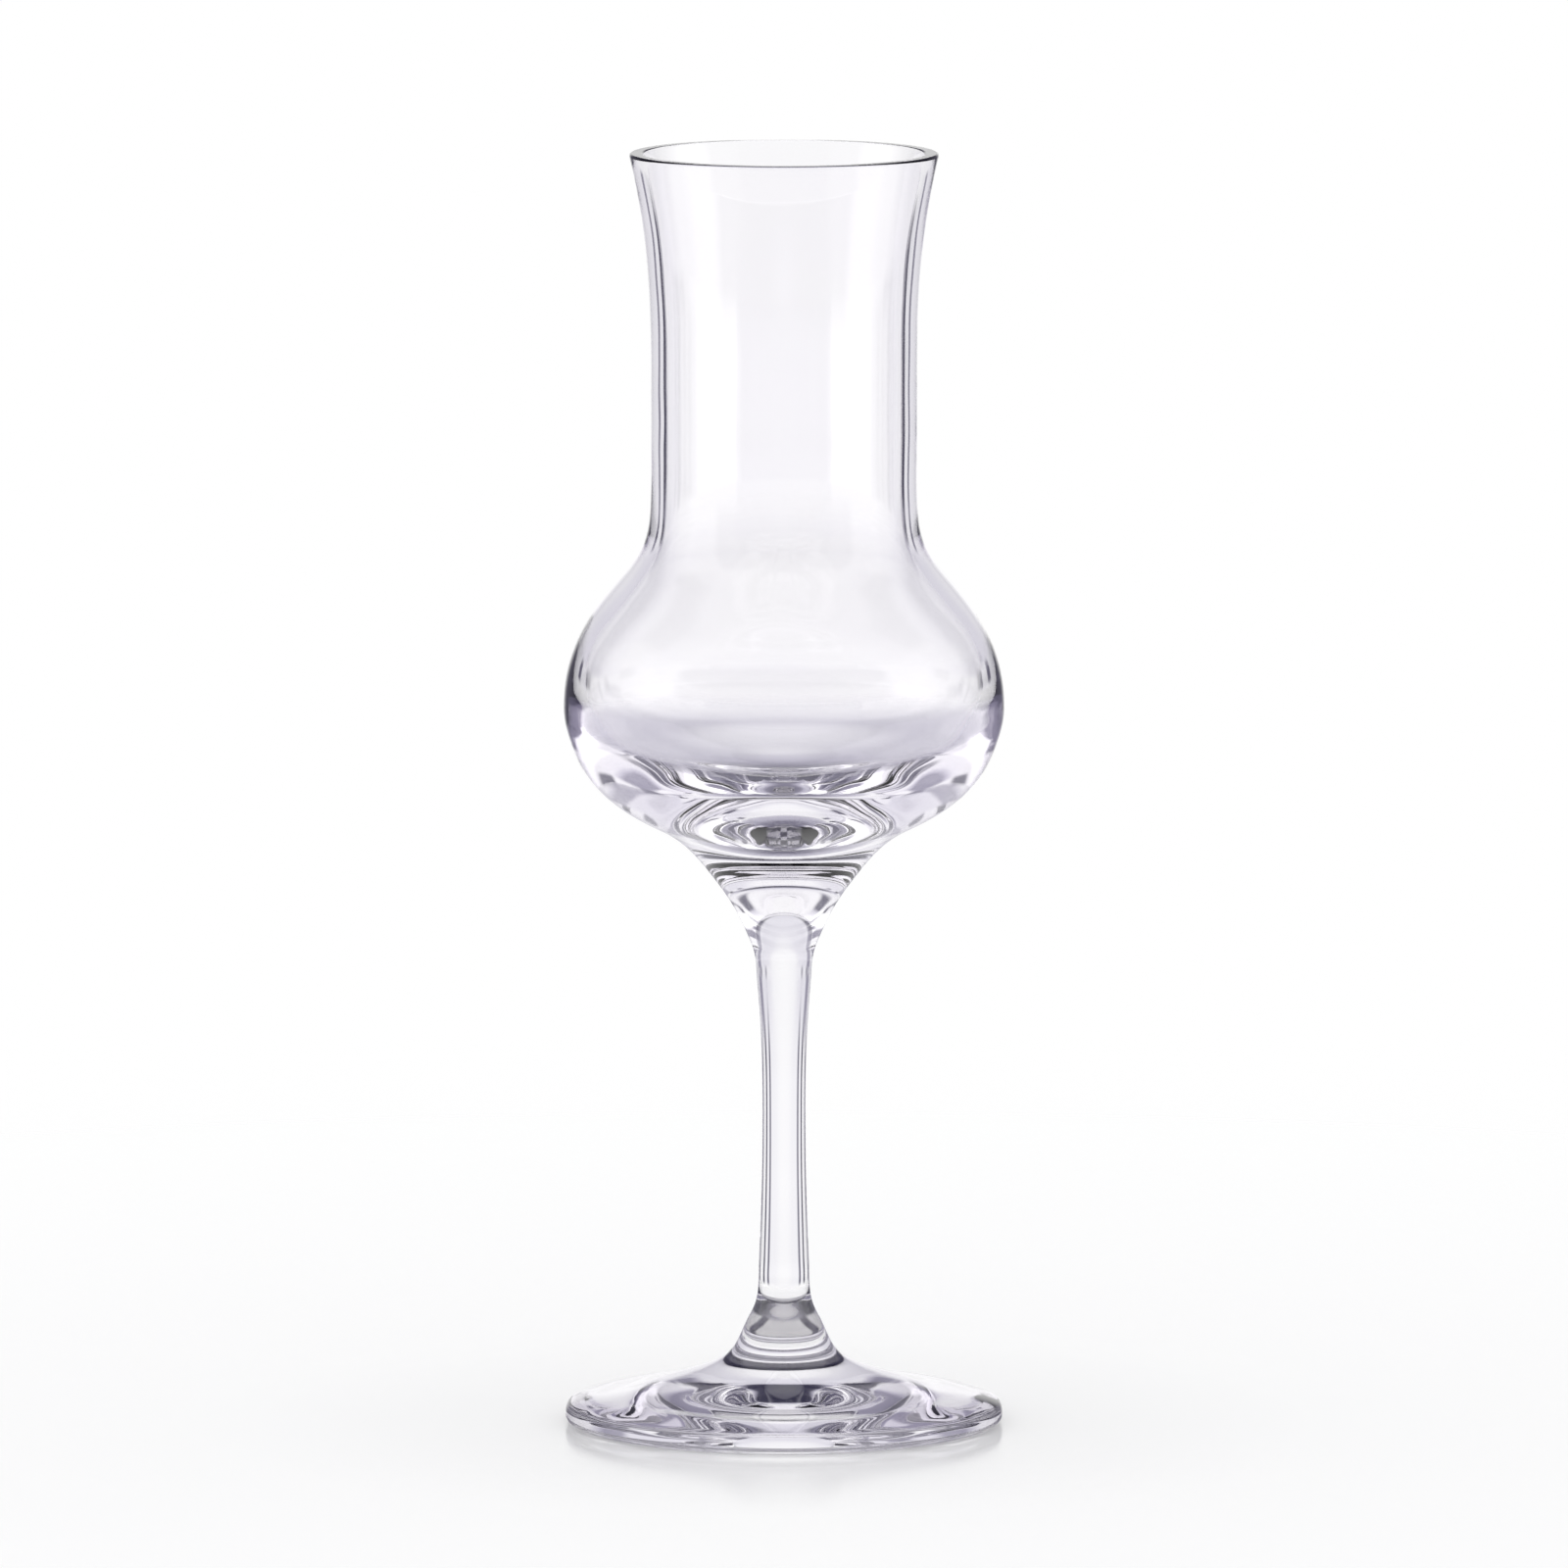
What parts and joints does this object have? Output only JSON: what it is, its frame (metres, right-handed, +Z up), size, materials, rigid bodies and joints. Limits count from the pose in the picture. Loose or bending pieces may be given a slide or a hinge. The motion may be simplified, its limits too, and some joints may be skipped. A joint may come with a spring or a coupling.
{
  "type": "grappa glass",
  "caption": "Clear stemmed spirit glass: flared chimney above a round bulb with a heavy solid base, a slim waisted stem and a round foot, for drinking grappa.",
  "frame": {"origin": "middle of the foot, on the surface that the glass stands on", "axes": "+Z up along the axis of the glass, through foot, stem and bowl to the mouth; X and Y are alike"},
  "size_m": [0.0602, 0.0602, 0.1745],
  "materials": {
    "bowl_glass": "clear, fire polished",
    "stem_glass": "clear, fire polished",
    "foot_glass": "clear, fire polished"
  },
  "bodies": {
    "root": {"bowl": "bowl_glass", "stem": "stem_glass", "foot": "foot_glass"}
  },
  "joints": []
}
